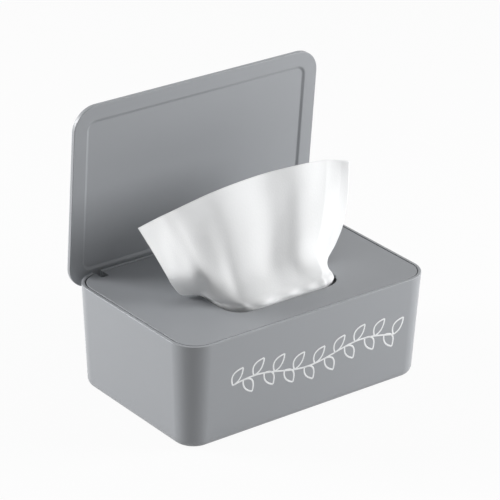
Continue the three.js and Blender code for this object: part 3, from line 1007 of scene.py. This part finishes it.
def sprig_tree(values):
    tree, entry, leave = new_tree("sprig_on_a_stem", "Stem", values, "Print")
    nodes, links = tree.nodes, tree.links
    pen = round_pen(tree, entry)
    leaf_lines = nodes.new("GeometryNodeJoinGeometry")
    for side in LEAF_SIDES:
        links.new(leaf_side(tree, entry, side), leaf_lines.inputs["Geometry"])
    spots = nodes.new("GeometryNodeCurveToPoints")
    links.new(entry.outputs["Stem"], spots.inputs["Curve"])
    links.new(entry.outputs["Leaves"], spots.inputs["Count"])
    copies = nodes.new("GeometryNodeInstanceOnPoints")
    links.new(spots.outputs["Points"], copies.inputs["Points"])
    links.new(drawn_line(tree, leaf_lines.outputs["Geometry"], pen), copies.inputs["Instance"])
    links.new(alternate_lean(tree, entry), copies.inputs["Rotation"])
    join = nodes.new("GeometryNodeJoinGeometry")
    links.new(copies.outputs["Instances"], join.inputs["Geometry"])
    links.new(drawn_line(tree, entry.outputs["Stem"], pen), join.inputs["Geometry"])
    thin = nodes.new("ShaderNodeCombineXYZ")
    thin.inputs["X"].default_value = 1
    thin.inputs["Y"].default_value = 1
    links.new(entry.outputs["Ink share"], thin.inputs["Z"])
    flat = nodes.new("GeometryNodeTransform")
    links.new(join.outputs["Geometry"], flat.inputs["Geometry"])
    links.new(thin.outputs["Vector"], flat.inputs["Scale"])
    realize_and_paint(tree, flat.outputs["Geometry"], ink, leave.inputs["Print"])
    return tree


print("leaves on the stem:", SPRIG_VALUES["Leaves"])

# %% [markdown]
# The sprig is drawn flat and then stood on the front wall, which leans with its draft. The place is
# applied to the mesh and not to the object, so the object stays at the origin as every piece does.

# %% Printed sprig
def front_face_place():
    """The matrix that stands a flat drawing on the drafted front wall."""
    up = Vector((0, -BOX_DRAFT, BOX_HEIGHT)).normalized()
    side = Vector((1, 0, 0))
    out = side.cross(up)
    spot = Vector((0, -(BOX_DEPTH / 2 - wall_inset(PRINT_MIDDLE)), PRINT_MIDDLE)) * MM
    turn = Matrix((side, up, out)).transposed().to_4x4()
    return Matrix.Translation(spot) @ turn


def make_print():
    line = stem_curve()
    result = mesh_from_nodes(line, sprig_tree(SPRIG_VALUES), SPRIG_VALUES)
    bpy.data.objects.remove(line)
    result.transform(front_face_place())
    result.shade_smooth()
    made = new_object("printed_sprig", result)
    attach(made, "box")
    print(made.name, "faces:", len(result.polygons))
    return made


printed_sprig = make_print()

# %% [markdown]
# A pale floor lies under the box. The camera and glossy rays see it as white, through Light Path,
# and every other ray sees a plain pale surface. So it looks as white as a studio floor, without the
# extra light that a glowing floor would throw on the object.

# %% Floor
FLOOR_SIZE, FLOOR_DROP = 6.0, 0.0002
FLOOR_GREY = (0.62, 0.62, 0.62, 1)
FLOOR_WHITE_SHARE = 0.94


def camera_or_glossy_ray(nodes, links):
    """1 for a ray from the camera or off a glossy surface, and 0 for every other ray."""
    path = nodes.new("ShaderNodeLightPath")
    either = nodes.new("ShaderNodeMath")
    either.operation = "MAXIMUM"
    links.new(path.outputs["Is Camera Ray"], either.inputs[0])
    links.new(path.outputs["Is Glossy Ray"], either.inputs[1])
    return either.outputs[0]


def floor_material():
    material, nodes, links, shader = new_material("pale_floor")
    shader.inputs["Base Color"].default_value = FLOOR_GREY
    shader.inputs["Roughness"].default_value = 0.9
    shader.inputs["Specular IOR Level"].default_value = 0.0
    glow = nodes.new("ShaderNodeEmission")
    glow.inputs["Strength"].default_value = 1.0
    share = nodes.new("ShaderNodeMath")
    share.operation = "MULTIPLY"
    share.inputs[1].default_value = FLOOR_WHITE_SHARE
    mix = nodes.new("ShaderNodeMixShader")
    links.new(camera_or_glossy_ray(nodes, links), share.inputs[0])
    links.new(share.outputs[0], mix.inputs["Fac"])
    links.new(shader.outputs["BSDF"], mix.inputs[1])
    links.new(glow.outputs["Emission"], mix.inputs[2])
    links.new(mix.outputs["Shader"], nodes["Material Output"].inputs["Surface"])
    return material


def make_floor():
    half, z = FLOOR_SIZE / 2, -FLOOR_DROP
    corners = [(-half, -half, z), (half, -half, z), (half, half, z), (-half, half, z)]
    mesh = bpy.data.meshes.new("pale_floor")
    mesh.from_pydata(corners, [], [(0, 1, 2, 3)])
    mesh.materials.append(floor_material())
    floor = new_object("pale_floor", mesh)
    print("floor:", FLOOR_SIZE, "m wide")


make_floor()

# %% [markdown]
# Two soft lamps, each half a metre square, stand on opposite sides of the box's front left corner,
# one behind on the left and one in front on the right. Each lights one long face, and the rounded
# corner between them turns away from both, so it goes dark. A weak third lamp hangs overhead.

# %% Lamps
def soft_lamp(name, place, target, side, watts):
    data = bpy.data.lights.new(name, "AREA")
    data.shape = "RECTANGLE"
    data.size = side
    data.size_y = side
    data.energy = watts
    lamp = new_object(name, data)
    lamp.location = place
    lamp.rotation_mode = "QUATERNION"
    lamp.rotation_quaternion = (Vector(target) - Vector(place)).to_track_quat("-Z", "Y")
    print(name, watts, "W")


soft_lamp("left_rear_softbox", place=(-0.9, 0.9, 0.5), target=(-0.09, 0, 0.04), side=0.5, watts=19.5)
soft_lamp("right_front_softbox", place=(0.80, -0.56, 0.42), target=(0.07, 0, 0.07), side=0.5, watts=11.3)
soft_lamp("overhead_softbox", place=(0.5, 0.1, 1.2), target=(0, 0, 0.05), side=0.8, watts=1.0)

# %% [markdown]
# A weak even world light fills the rest. The camera and glossy rays see the world as white, as they
# see the floor, so the background is white and the satin edges catch a pale highlight.

# %% World
ROOM_FILL = 0.24


def set_world():
    world = bpy.data.worlds.new("soft_room")
    world.use_nodes = True
    nodes, links = world.node_tree.nodes, world.node_tree.links
    back = nodes["Background"]
    back.inputs["Color"].default_value = (1, 1, 1, 1)
    strength = nodes.new("ShaderNodeMapRange")
    strength.inputs["To Min"].default_value = ROOM_FILL
    strength.inputs["To Max"].default_value = 1.0
    links.new(camera_or_glossy_ray(nodes, links), strength.inputs["Value"])
    links.new(strength.outputs["Result"], back.inputs["Strength"])
    bpy.context.scene.world = world
    print("world fill:", ROOM_FILL)


set_world()
bpy.context.scene.view_settings.view_transform = "Standard"
